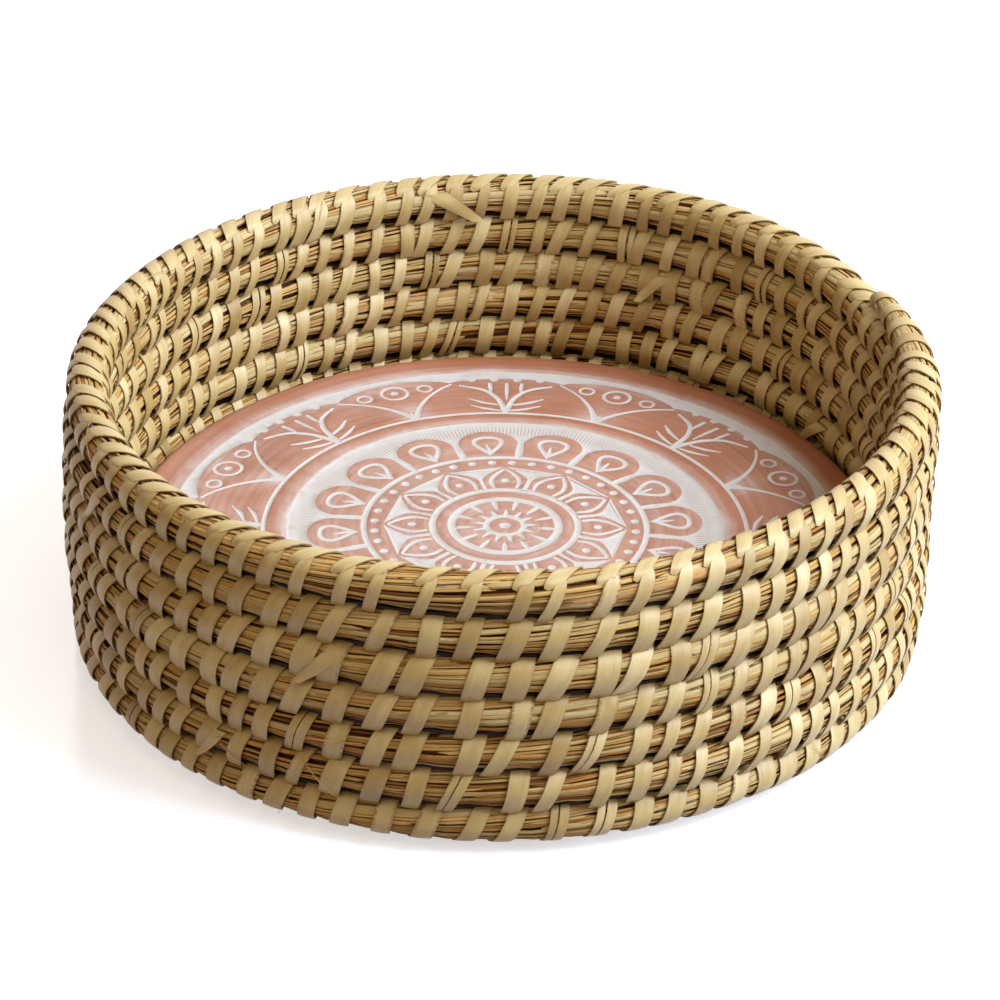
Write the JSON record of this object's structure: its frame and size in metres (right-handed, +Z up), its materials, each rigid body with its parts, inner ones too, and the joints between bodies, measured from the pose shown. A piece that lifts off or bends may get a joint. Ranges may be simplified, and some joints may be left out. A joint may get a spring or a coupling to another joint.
{
  "type": "bread warmer basket",
  "caption": "Round coiled grass basket, lashed with leaf strips, with a loose carved terracotta tile on its floor that is heated to keep bread warm.",
  "frame": {"origin": "middle of the flat face that the basket stands on", "axes": "+Z up through the basket's opening; +X towards the side where the coil steps up and ends"},
  "size_m": [0.2531, 0.2532, 0.0877],
  "materials": {
    "clay": "matt unglazed terracotta with white slip",
    "grass": "dry matt grass stems",
    "leaf": "dry satin palm leaf"
  },
  "bodies": {
    "basket": {"floor_coil": "grass", "wall_coil": "grass", "start_binding": "leaf", "end_lashing": "leaf", "floor_stitches_middle": "leaf", "floor_stitches_1": "leaf", "floor_stitches_2": "leaf", "floor_stitches_3": "leaf", "floor_stitches_4": "leaf", "wall_stitches_1": "leaf", "wall_stitches_2": "leaf", "wall_stitches_3": "leaf", "wall_stitches_4": "leaf", "wall_stitches_5": "leaf", "wall_stitches_6": "leaf", "wall_stitches_7": "leaf"},
    "tile": {"tile": "clay"}
  },
  "joints": [
    {"name": "tile_lift", "type": "slide", "parent": "basket", "child": "tile", "axis": [0, 0, 1], "range_m": [0, 0.11]}
  ]
}
